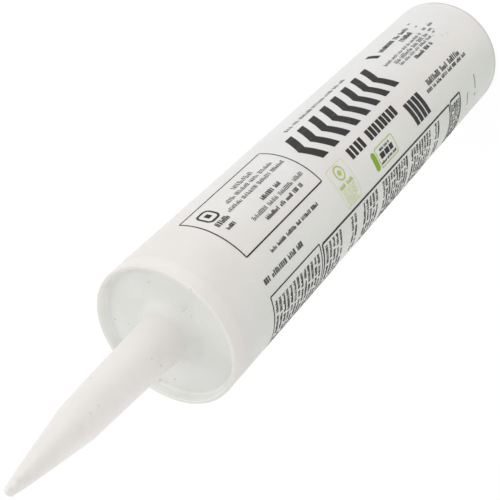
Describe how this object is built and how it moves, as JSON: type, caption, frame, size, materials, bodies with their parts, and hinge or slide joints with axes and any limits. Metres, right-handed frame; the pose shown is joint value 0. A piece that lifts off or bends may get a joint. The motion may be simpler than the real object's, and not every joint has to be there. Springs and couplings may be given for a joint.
{
  "type": "sealant cartridge",
  "caption": "White cylindrical sealant cartridge with a recessed front wall, a long tapered nozzle with a closed tip, and a ribbed plunger in its open rear end.",
  "frame": {"origin": "centre of the barrel's rear rim, on which the cartridge stands", "axes": "+Z along the barrel's axis to the nozzle's tip; the front of the print faces -Y"},
  "size_m": [0.05, 0.05, 0.2864],
  "materials": {
    "cartridge_plastic": "satin moulded polyethylene, faintly translucent",
    "plunger_plastic": "satin moulded polyethylene",
    "sealant_paste": "damp grey paste",
    "ink_charcoal": "screen-printed ink, satin",
    "ink_green": "screen-printed ink, satin"
  },
  "bodies": {
    "cartridge": {"cartridge": "cartridge_plastic", "sealant": "sealant_paste"},
    "plunger": {"plunger": "plunger_plastic"}
  },
  "joints": [
    {"name": "plunger_slide", "type": "slide", "parent": "cartridge", "child": "plunger", "axis": [0, 0, 1], "range_m": [0, 0.183], "deforming": ["sealant"]}
  ]
}
